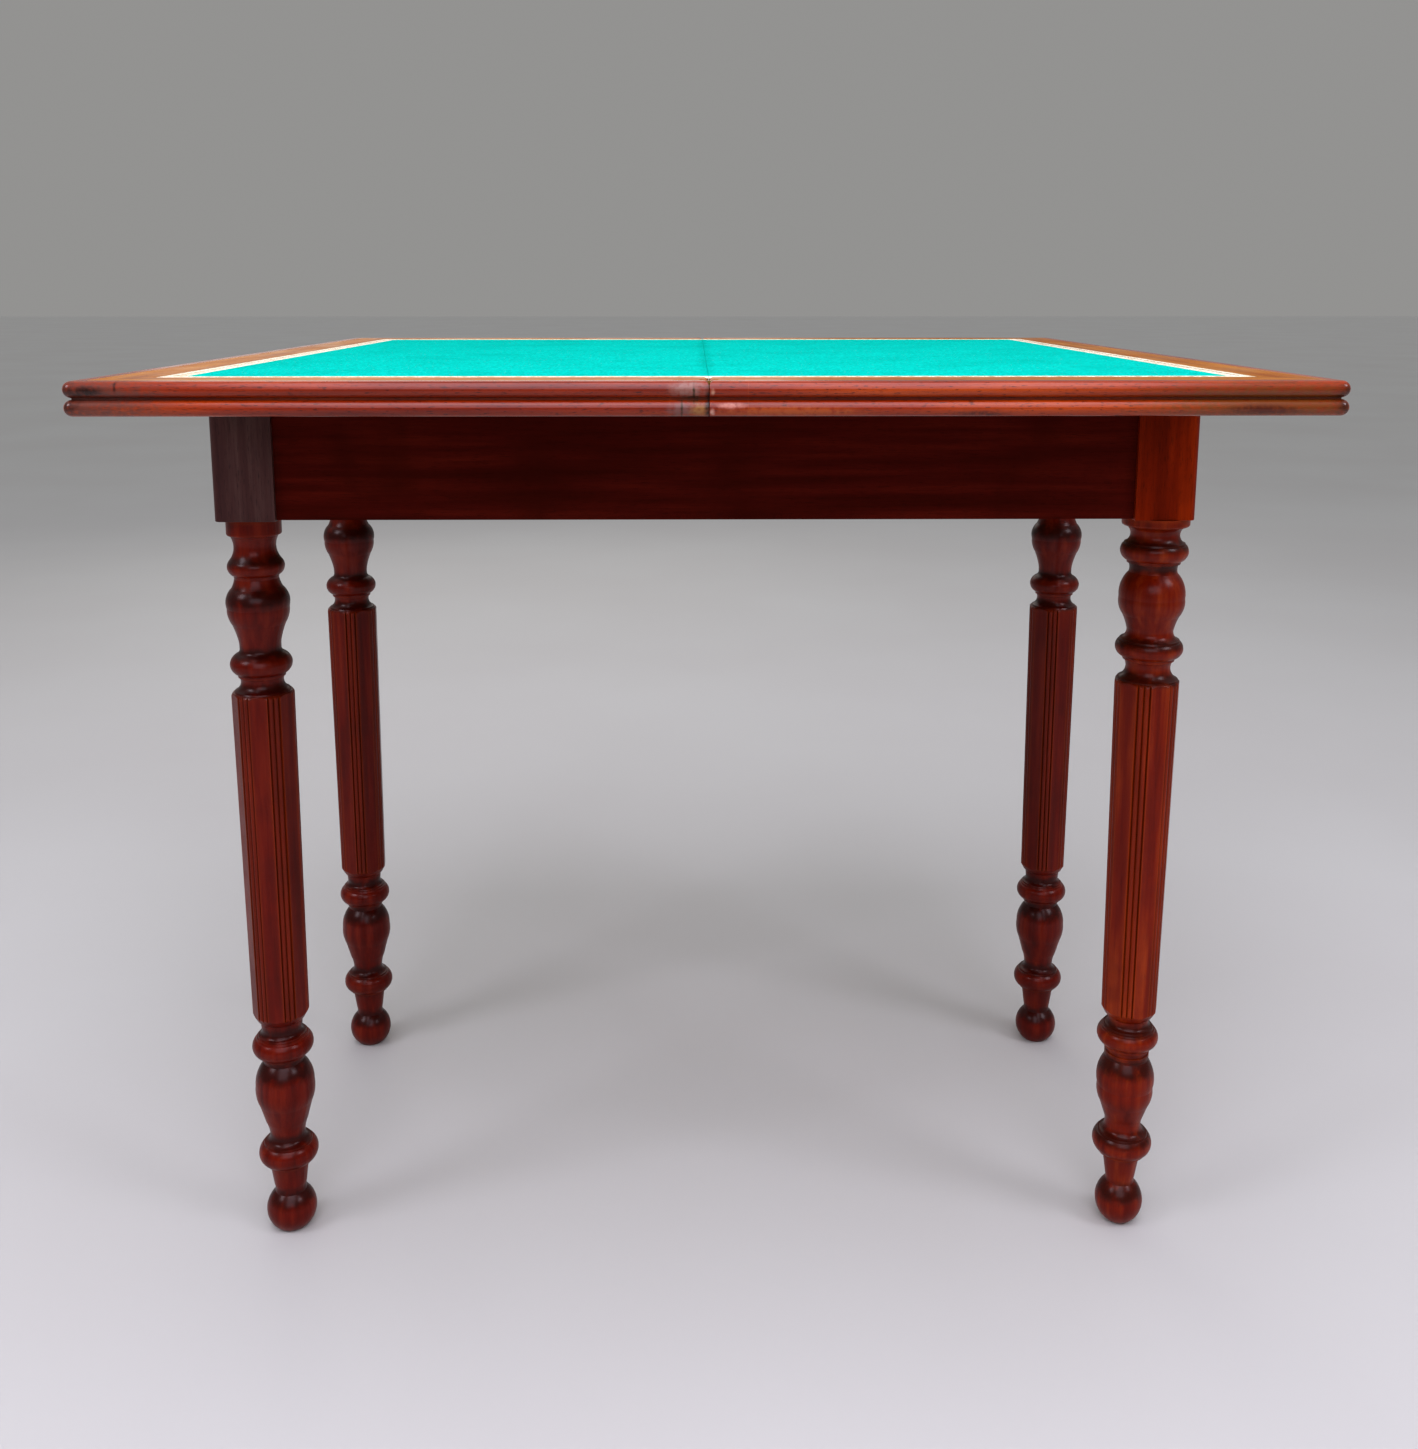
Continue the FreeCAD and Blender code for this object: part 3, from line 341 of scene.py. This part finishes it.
# Metal that has been handled and tarnished: bright where it rubs, duller in soft spots
tarnish = {"spotsAt": (0.42, 0.62), "dullAt": (0.4, 0.65), "scratchSize": 0.4 * mm,
           "scratchDepth": 0.02 * mm}


def agedMetal(name, clean, tarnished, roughness, spotSize):
    material = newMaterial(name)
    place = addNode(material, "TexCoord").outputs["Object"]
    spots = addNode(material, "TexNoise", Vector=place, Scale=1 / spotSize, Detail=4.0).outputs["Fac"]
    tones = list(zip(tarnish["spotsAt"], (clean, tarnished)))
    colour = addNode(material, "ValToRGB", None, tones, Fac=spots).outputs["Color"]
    scratches = addNode(material, "TexNoise", Vector=place, Scale=1 / tarnish["scratchSize"],
                        Detail=2.0).outputs["Fac"]
    bump = addNode(material, "Bump", Strength=0.3, Distance=tarnish["scratchDepth"], Height=scratches)
    dullness = addNode(material, "MapRange", smooth, Value=spots, From_Min=tarnish["dullAt"][0],
                       From_Max=tarnish["dullAt"][1], To_Min=roughness[0],
                       To_Max=roughness[1]).outputs[0]
    shader = addNode(material, "BsdfPrincipled", Base_Color=colour, Metallic=1.0, Roughness=dullness,
                     Normal=bump.outputs["Normal"])
    return finishMaterial(material, shader)


brass = agedMetal("agedBrass", "#b8934f", "#6e5228", (0.28, 0.5), 4 * mm)
steel = agedMetal("dullForgedSteel", "#7d7b78", "#46413c", (0.38, 0.6), 8 * mm)
gilt = agedMetal("rubbedGoldLeaf", "#c8953a", "#8e6a34", (0.25, 0.45), 3 * mm)  # for the border's tooling
for leaf in ("fixed_leaf", "flip_leaf"):
    paint(brass, leaf + "_hinge_plates", leaf + "_hinge_pins", leaf + "_hinge_screws")
paint(brass, "hinge_links")
paint(steel, "pivot_plate", "pivot_plate_screws", "pivot_bolt", "steel_washer", "pivot_nut")
print("metal done")

# Leather has a fine pebbled grain, and handling mottles it
leather = {"mottleSize": 9 * mm, "mottleAt": (0.35, 0.62), "dullAt": (0.3, 0.7),
           "pebbleDepth": 0.06 * mm}


def tannedLeather(name, dark, light, grainSize, roughness):
    material = newMaterial(name)
    place = addNode(material, "TexCoord").outputs["Object"]
    mottle = addNode(material, "TexNoise", Vector=place, Scale=1 / leather["mottleSize"],
                     Detail=4.0).outputs["Fac"]
    tones = list(zip(leather["mottleAt"], (dark, light)))
    colour = addNode(material, "ValToRGB", None, tones, Fac=mottle).outputs["Color"]
    grain = addNode(material, "TexVoronoi", {"feature": "DISTANCE_TO_EDGE"}, Vector=place,
                    Scale=1 / grainSize)
    pebbles = addNode(material, "MapRange", smooth, Value=grain.outputs["Distance"],
                      From_Max=0.3).outputs[0]
    bump = addNode(material, "Bump", Strength=0.4, Distance=leather["pebbleDepth"], Height=pebbles)
    dullness = addNode(material, "MapRange", smooth, Value=mottle, From_Min=leather["dullAt"][0],
                       From_Max=leather["dullAt"][1], To_Min=roughness[0],
                       To_Max=roughness[1]).outputs[0]
    shader = addNode(material, "BsdfPrincipled", Base_Color=colour, IOR=1.45, Roughness=dullness,
                     Normal=bump.outputs["Normal"])
    return finishMaterial(material, shader)


borderLeather = tannedLeather("creamSkiverLeather", "#d6ccae", "#f2eeda", 0.8 * mm, (0.45, 0.6))
washerLeather = tannedLeather("greasedWasherLeather", "#3a2415", "#5c3c22", 1.0 * mm, (0.5, 0.7))
paint(washerLeather, "friction_washer")
print("leather done")

# Woollen cloth with a raised and clipped pile: no gloss, a felted grain and specks of lint
baize = {
    "fibreSize": 1.4 * mm, "fibresAt": (0.32, 0.62),  # its real fibres are too fine to show
    "fibreDepth": 0.2 * mm, "napWidth": 3 * mm, "napLength": 12 * mm, "napAt": (0.45, 0.7),
    "cloudSize": 60 * mm, "cloudsAt": (0.4, 0.8), "lintSize": 2.2 * mm, "lintAt": (0.72, 0.8),
    "lint": "#b8ded4", "creaseShadeAt": (0.1, 0.6), "sheen": 0.03, "sheenTint": "#20e0c8",
}


def woollenBaize(name, dark, light, creaseShade, creaseReach):
    material = newMaterial(name)
    place = addNode(material, "TexCoord").outputs["Object"]
    fibres = addNode(material, "TexNoise", Vector=place, Scale=1 / baize["fibreSize"],
                     Detail=3.0).outputs["Fac"]
    nap = grainPattern(material, place, "Y", baize["napWidth"], baize["napLength"], 2)
    cloud = addNode(material, "TexNoise", Vector=place, Scale=1 / baize["cloudSize"],
                    Detail=5.0).outputs["Fac"]
    lint = addNode(material, "TexNoise", Vector=place, Scale=1 / baize["lintSize"],
                   Detail=1.0).outputs["Fac"]
    tones = list(zip(baize["fibresAt"], (dark, light)))
    colour = addNode(material, "ValToRGB", None, tones, Fac=fibres).outputs["Color"]
    colour = layTone(material, colour, dark, nap, baize["napAt"], 0.35)
    colour = layTone(material, colour, dark, cloud, baize["cloudsAt"], 0.4)
    colour = layTone(material, colour, baize["lint"], lint, baize["lintAt"], 0.5)
    if creaseReach:
        # Painted shade along the fold, darker in some places than in others
        across = addNode(material, "SeparateXYZ", Vector=place).outputs["X"]
        fromSeam = addNode(material, "Math", {"operation": "ABSOLUTE"}, s0=across).outputs[0]
        nearness = addNode(material, "MapRange", smooth, Value=fromSeam, From_Min=creaseReach,
                           From_Max=0).outputs[0]
        patchy = addNode(material, "Math", {"operation": "MULTIPLY"}, s0=nearness, s1=cloud).outputs[0]
        colour = layTone(material, colour, creaseShade, patchy, baize["creaseShadeAt"], 0.35)
    bump = addNode(material, "Bump", Strength=0.6, Distance=baize["fibreDepth"], Height=fibres)
    shader = addNode(material, "BsdfPrincipled", Base_Color=colour, Roughness=0.95,
                     Specular_IOR_Level=0.0, Sheen_Weight=baize["sheen"], Sheen_Roughness=0.5,
                     Sheen_Tint=hexColour(baize["sheenTint"]), Normal=bump.outputs["Normal"])
    return finishMaterial(material, shader)


tableBaize = woollenBaize("clippedWoolBaize", "#049888", "#0cc6b6", "#048978", 12 * mm)
liningBaize = woollenBaize("thinLiningBaize", "#0b5a48", "#15745e", "#0b5a48", 0)


def startPiece(name):
    piece = bpy.context.object
    piece.name = name
    piece.data.name = name
    return piece


def applyPlace():
    bpy.ops.object.transform_apply(location=True, rotation=True, scale=True)


def dropUnder(piece, depth, thinShare=1.0, isThin=None):
    # Gives a flat piece its thickness, downwards from its face, and less where isThin says so
    wall = piece.modifiers.new("wall", "SOLIDIFY")
    wall.thickness = depth
    wall.offset = -1
    if isThin:
        group = piece.vertex_groups.new(name="thin")
        for point in piece.data.vertices:
            group.add([point.index], 0 if isThin(point.co) else 1, "REPLACE")
        wall.vertex_group = group.name
        wall.thickness_vertex_group = thinShare
    bpy.ops.object.modifier_apply(modifier=wall.name)


bpy.ops.object.select_all(action="DESELECT")

# The playing surface. Its cloth and leather run to the seam and turn down over the rounded corner.
surface = {
    "half": 342 * mm,  # of the cloth, from the middle of the top to its outer edges
    "groundZ": 739 * mm, "clothDepth": 0.9 * mm,
    "turnX": 0.5 * mm, "seamX": 0.03 * mm, "seamBottom": 737.4 * mm, "turnedDepth": 0.25 * mm,
    "steps": 90, "turnedSteps": 6, "edgeDrop": 0.25 * mm, "edgeReach": 1.5 * mm,
    "undulation": 0.06 * mm, "wavesPerMetre": 22,
}


def selectEdges(piece, wanted):
    # Leaves the piece in edit mode with only those edges selected whose ends are both wanted
    bpy.ops.object.mode_set(mode="EDIT")
    bpy.ops.mesh.select_mode(type="EDGE")
    bpy.ops.mesh.select_all(action="DESELECT")
    bpy.ops.object.mode_set(mode="OBJECT")
    points = piece.data.vertices
    for edge in piece.data.edges:
        edge.select = all(wanted(points[end].co) for end in edge.vertices)
    bpy.ops.object.mode_set(mode="EDIT")


def turnDownAtSeam(piece, side, faceZ):
    # Carries the piece's seam edge round a tight corner and down into the seam
    selectEdges(piece, lambda place: abs(abs(place.x) - surface["turnX"]) < 0.05 * mm)
    radius = surface["turnX"] - surface["seamX"]
    for step in range(surface["turnedSteps"] + 1):
        bpy.ops.mesh.extrude_region_move()
        bpy.ops.object.mode_set(mode="OBJECT")
        turn = math.pi / 2 * min(1, (step + 1) / surface["turnedSteps"])
        newZ = faceZ - radius * (1 - math.cos(turn))
        for point in piece.data.vertices:
            if point.select:
                point.co.x = side * (surface["turnX"] - radius * math.sin(turn))
                point.co.z = newZ if step < surface["turnedSteps"] else surface["seamBottom"]
        bpy.ops.object.mode_set(mode="EDIT")
    bpy.ops.object.mode_set(mode="OBJECT")


def isTurned(place):
    return abs(place.x) < surface["turnX"] - 0.1 * mm


def clothPiece(name, leaf, side):
    steps = surface["steps"]
    length = surface["half"] - surface["turnX"]
    faceZ = surface["groundZ"] + surface["clothDepth"]
    waves = surface["wavesPerMetre"]
    bpy.ops.mesh.primitive_grid_add(x_subdivisions=steps, y_subdivisions=2 * steps, size=1)
    piece = startPiece(name)
    piece.scale = (length, 2 * surface["half"], 1)
    piece.location = (side * (surface["turnX"] + length / 2), 0, faceZ)
    applyPlace()
    turnDownAtSeam(piece, side, faceZ)
    for point in piece.data.vertices:
        across, along = abs(point.co.x), abs(point.co.y)
        if across > surface["turnX"] + 1 * mm:
            wave = noise.noise((point.co.x * waves, point.co.y * waves, 0))
            inset = min(surface["half"] - across, surface["half"] - along)
            drop = surface["edgeDrop"] * max(0, 1 - inset / surface["edgeReach"])
            point.co.z -= surface["undulation"] * (0.5 + 0.5 * wave) + drop
    dropUnder(piece, surface["clothDepth"], surface["turnedDepth"] / surface["clothDepth"], isTurned)
    bpy.ops.object.shade_smooth()
    piece.data.materials.append(tableBaize)
    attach(piece, leaf)
    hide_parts(leaf + "_baize")


leaves = (("fixedLeaf", "fixed_leaf", -1), ("flipLeaf", "flip_leaf", 1))
for name, leaf, side in leaves:
    clothPiece(name + "Baize", leaf, side)
print("baize done")

# The tooled leather border: two gilt lines pressed into it, with a row of stamped lozenges between
border = {
    "outer": 357 * mm, "faceZ": 739.8 * mm, "depth": 0.8 * mm, "rimDrop": 0.3 * mm,
    "bands": (0.4 * mm, 1.6 * mm, 0.8 * mm, 9.4 * mm, 0.8 * mm, 1.6 * mm, 0.4 * mm),
    "lineBands": (2, 4), "press": 0.12 * mm, "pressSlope": 0.08 * mm, "sharpest": 35,
    "lozenge": (1.7 * mm, 3.0 * mm), "dot": 0.8 * mm, "stampRise": 0.05 * mm,
    "stampRim": 0.25 * mm, "stampCrown": 0.04 * mm,
    "pitch": 8.7 * mm, "firstAcross": 1.2, "firstDown": 1.4,  # in pitches
}


def bandOf(place):
    # Which band of the border a point lies in, counted from its outer rim
    inset = border["outer"] - max(abs(place.x), abs(place.y))
    for band, width in enumerate(border["bands"]):
        inset -= width
        if inset < 0:
            return band
    return len(border["bands"])


def borderPiece(name, leaf, side):
    bpy.ops.mesh.primitive_plane_add(size=2 * border["outer"], location=(0, 0, border["faceZ"]))
    piece = startPiece(name)
    applyPlace()
    bpy.ops.object.mode_set(mode="EDIT")
    bpy.ops.mesh.select_mode(type="FACE")
    bpy.ops.mesh.select_all(action="SELECT")
    for width in border["bands"]:
        bpy.ops.mesh.inset(thickness=width, depth=0)
    bpy.ops.mesh.delete(type="FACE")
    bpy.ops.mesh.select_all(action="SELECT")
    bpy.ops.mesh.bisect(plane_co=(side * surface["turnX"], 0, 0), plane_no=(side, 0, 0), clear_inner=True)
    bpy.ops.object.mode_set(mode="OBJECT")
    turnDownAtSeam(piece, side, border["faceZ"])
    piece.data.materials.append(borderLeather)
    piece.data.materials.append(gilt)
    for face in piece.data.polygons:
        onLine = bandOf(face.center) in border["lineBands"] and not isTurned(face.center)
        face.material_index = int(onLine)
        face.select = onLine
    for point in piece.data.vertices:
        inset = border["outer"] - max(abs(point.co.x), abs(point.co.y))
        atRim = min(inset, sum(border["bands"]) - inset) < 0.1 * mm
        if atRim and not isTurned(point.co):
            point.co.z -= border["rimDrop"]
    bpy.ops.object.mode_set(mode="EDIT")
    bpy.ops.mesh.select_mode(type="FACE")
    bpy.ops.mesh.inset(thickness=border["pressSlope"], depth=-border["press"])
    bpy.ops.object.mode_set(mode="OBJECT")
    dropUnder(piece, border["depth"], surface["turnedDepth"] / border["depth"], isTurned)
    bpy.ops.object.shade_smooth_by_angle(angle=math.radians(border["sharpest"]))
    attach(piece, leaf)
    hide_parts(leaf + "_border")


def stampRow(start, step, count, along):
    # One lozenge and one dot, cut once and then repeated along a strip
    wide, long = border["lozenge"]
    rise = border["stampRise"]
    middleZ = border["faceZ"] + rise / 2
    bpy.ops.mesh.primitive_cylinder_add(vertices=4, radius=1, depth=rise, location=(*start, middleZ))
    stamp = startPiece("lozenge")
    stamp.scale = (long, wide, 1) if along == "X" else (wide, long, 1)
    applyPlace()
    between = (start[0] + step[0] / 2, start[1] + step[1] / 2, middleZ)
    bpy.ops.mesh.primitive_cylinder_add(vertices=10, radius=border["dot"], depth=rise, location=between)
    startPiece("dot")
    applyPlace()
    stamp.select_set(True)
    bpy.context.view_layer.objects.active = stamp
    bpy.ops.object.join()
    for face in stamp.data.polygons:
        face.select = face.normal.z > 0.9
    bpy.ops.object.mode_set(mode="EDIT")
    bpy.ops.mesh.select_mode(type="FACE")
    bpy.ops.mesh.inset(thickness=border["stampRim"], depth=border["stampCrown"])
    bpy.ops.object.mode_set(mode="OBJECT")
    row = stamp.modifiers.new("row", "ARRAY")
    row.use_relative_offset = False
    row.use_constant_offset = True
    row.constant_offset_displace = (*step, 0)
    row.count = count
    bpy.ops.object.modifier_apply(modifier=row.name)
    return stamp


def toolingPiece(name, leaf, side):
    middle = border["outer"] - sum(border["bands"]) / 2
    pitch = border["pitch"]
    across = int((middle - 2 * pitch) / pitch)
    down = int((2 * middle - 2 * pitch) / pitch)
    rows = [stampRow((side * border["firstAcross"] * pitch, edge * middle), (side * pitch, 0), across, "X")
            for edge in (-1, 1)]
    rows.append(stampRow((side * middle, -middle + border["firstDown"] * pitch), (0, pitch), down, "Y"))
    for row in rows:
        row.select_set(True)
    bpy.context.view_layer.objects.active = rows[0]
    bpy.ops.object.join()
    piece = startPiece(name)
    piece.data.materials.append(gilt)
    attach(piece, leaf)
    bpy.ops.object.select_all(action="DESELECT")


for name, leaf, side in leaves:
    borderPiece(name + "Border", leaf, side)
    toolingPiece(name + "Tooling", leaf, side)
print("border done")

# The well's lining is a thinner cloth, glued to the bottom board
lining = {"steps": 60, "undulation": 0.25 * mm, "wavesPerMetre": 30, "edgeDrop": 0.3 * mm}
low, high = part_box("well_lining")
bpy.ops.mesh.primitive_grid_add(x_subdivisions=lining["steps"], y_subdivisions=lining["steps"], size=1)
wellLining = startPiece("wellLining")
wellLining.scale = (high.x - low.x, high.y - low.y, 1)
wellLining.location = ((low.x + high.x) / 2, (low.y + high.y) / 2, high.z)
applyPlace()
for point in wellLining.data.vertices:
    edge = min(point.co.x - low.x, high.x - point.co.x, point.co.y - low.y, high.y - point.co.y)
    drop = lining["edgeDrop"] if edge < 0.1 * mm else 0
    wave = noise.noise((point.co.x * lining["wavesPerMetre"], point.co.y * lining["wavesPerMetre"], 4))
    point.co.z -= lining["undulation"] * (0.5 + 0.5 * wave) + drop
dropUnder(wellLining, (high.z - low.z) / 2)
bpy.ops.object.shade_smooth()
wellLining.data.materials.append(liningBaize)
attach(wellLining, "table_frame")
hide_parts("well_lining")
print("lining done")

# Plain pale floor and a soft studio light: large boxes overhead, in front and behind, and a
# smaller one on each side that gives the turnings their highlights
studio = {
    "floorSize": 80, "floor": "#c2c2c0", "floorDark": "#bebdbb", "floorPatch": 1.2,
    "world": "#f2f1ef", "worldStrength": 0.38, "aim": (0, 0, 0.5),
    "fill": 0.75, "fillColour": "#f6f8ff", "fillAngle": 120,
}
lights = [
    {"name": "overheadSoftBox", "place": (0, -0.9, 2.6), "size": 1.9, "power": 44, "colour": "#f4f0ff"},
    {"name": "frontSoftBox", "place": (0, -2.5, 2.0), "size": 2.0, "power": 36, "colour": "#f0eeff"},
    {"name": "leftSoftBox", "place": (-2.2, -1.3, 2.3), "size": 0.95, "power": 26, "colour": "#f4f2ff"},
    {"name": "rightSoftBox", "place": (2.2, -1.3, 2.3), "size": 0.95, "power": 26, "colour": "#f4f2ff"},
    {"name": "backSoftBox", "place": (-0.6, 3.0, 2.0), "size": 2.0, "power": 12, "colour": "#fff8f0"},
]
bpy.ops.mesh.primitive_plane_add(size=studio["floorSize"], location=(0, 0, 0))
floor = startPiece("studioFloor")
applyPlace()
floorMaterial = newMaterial("mattPaintedFloor")
floorPlace = addNode(floorMaterial, "TexCoord").outputs["Object"]
floorTone = addNode(floorMaterial, "TexNoise", Vector=floorPlace, Scale=studio["floorPatch"],
                    Detail=3.0).outputs["Fac"]
floorTones = [(0.3, studio["floorDark"]), (0.7, studio["floor"])]
floorColour = addNode(floorMaterial, "ValToRGB", None, floorTones, Fac=floorTone).outputs["Color"]
floorShader = addNode(floorMaterial, "BsdfPrincipled", Base_Color=floorColour, Roughness=0.7)
floor.data.materials.append(finishMaterial(floorMaterial, floorShader))

world = bpy.context.scene.world or bpy.data.worlds.new("studio")
bpy.context.scene.world = world
world.use_nodes = True
background = world.node_tree.nodes["Background"]
background.inputs["Color"].default_value = hexColour(studio["world"])
background.inputs["Strength"].default_value = studio["worldStrength"]

for light in lights:
    bpy.ops.object.light_add(type="AREA", location=light["place"])
    lamp = bpy.context.object
    lamp.name = light["name"]
    lamp.data.size = light["size"]
    lamp.data.energy = light["power"]
    lamp.data.color = hexColour(light["colour"])[:3]
    away = [place - target for place, target in zip(light["place"], studio["aim"])]
    flat = math.hypot(away[0], away[1])
    lamp.rotation_euler = (math.atan2(flat, away[2]), 0, math.atan2(away[0], -away[1]))

# A weak light from the whole ceiling, so that the far floor is as pale as the wall behind it
bpy.ops.object.light_add(type="SUN", location=(0, 0, 4))
ceiling = bpy.context.object
ceiling.name = "ceilingFill"
ceiling.data.energy = studio["fill"]
ceiling.data.color = hexColour(studio["fillColour"])[:3]
ceiling.data.angle = math.radians(studio["fillAngle"])

# The camera stands where the photograph was taken, a little over the top's height
view = {
    "place": (-9.4 * mm, -1314.5 * mm, 797.1 * mm), "tilt": 10.48, "turn": -0.58,
    "focalPixels": 1475.1, "centreRow": 560, "imageHeight": 1449, "sensor": 36, "gamma": 0.88,
}
bpy.ops.object.camera_add(location=view["place"])
camera = bpy.context.object
camera.rotation_euler = (math.radians(90 - view["tilt"]), 0, math.radians(view["turn"]))
camera.data.sensor_width = view["sensor"]
camera.data.lens = view["focalPixels"] / view["imageHeight"] * view["sensor"]
camera.data.shift_y = (view["centreRow"] - view["imageHeight"] / 2) / view["imageHeight"]
bpy.context.scene.camera = camera
# The photograph's colours are strong, so the picture keeps them as they are lit
bpy.context.scene.view_settings.view_transform = "Standard"
bpy.context.scene.view_settings.gamma = view["gamma"]
print("stage done")
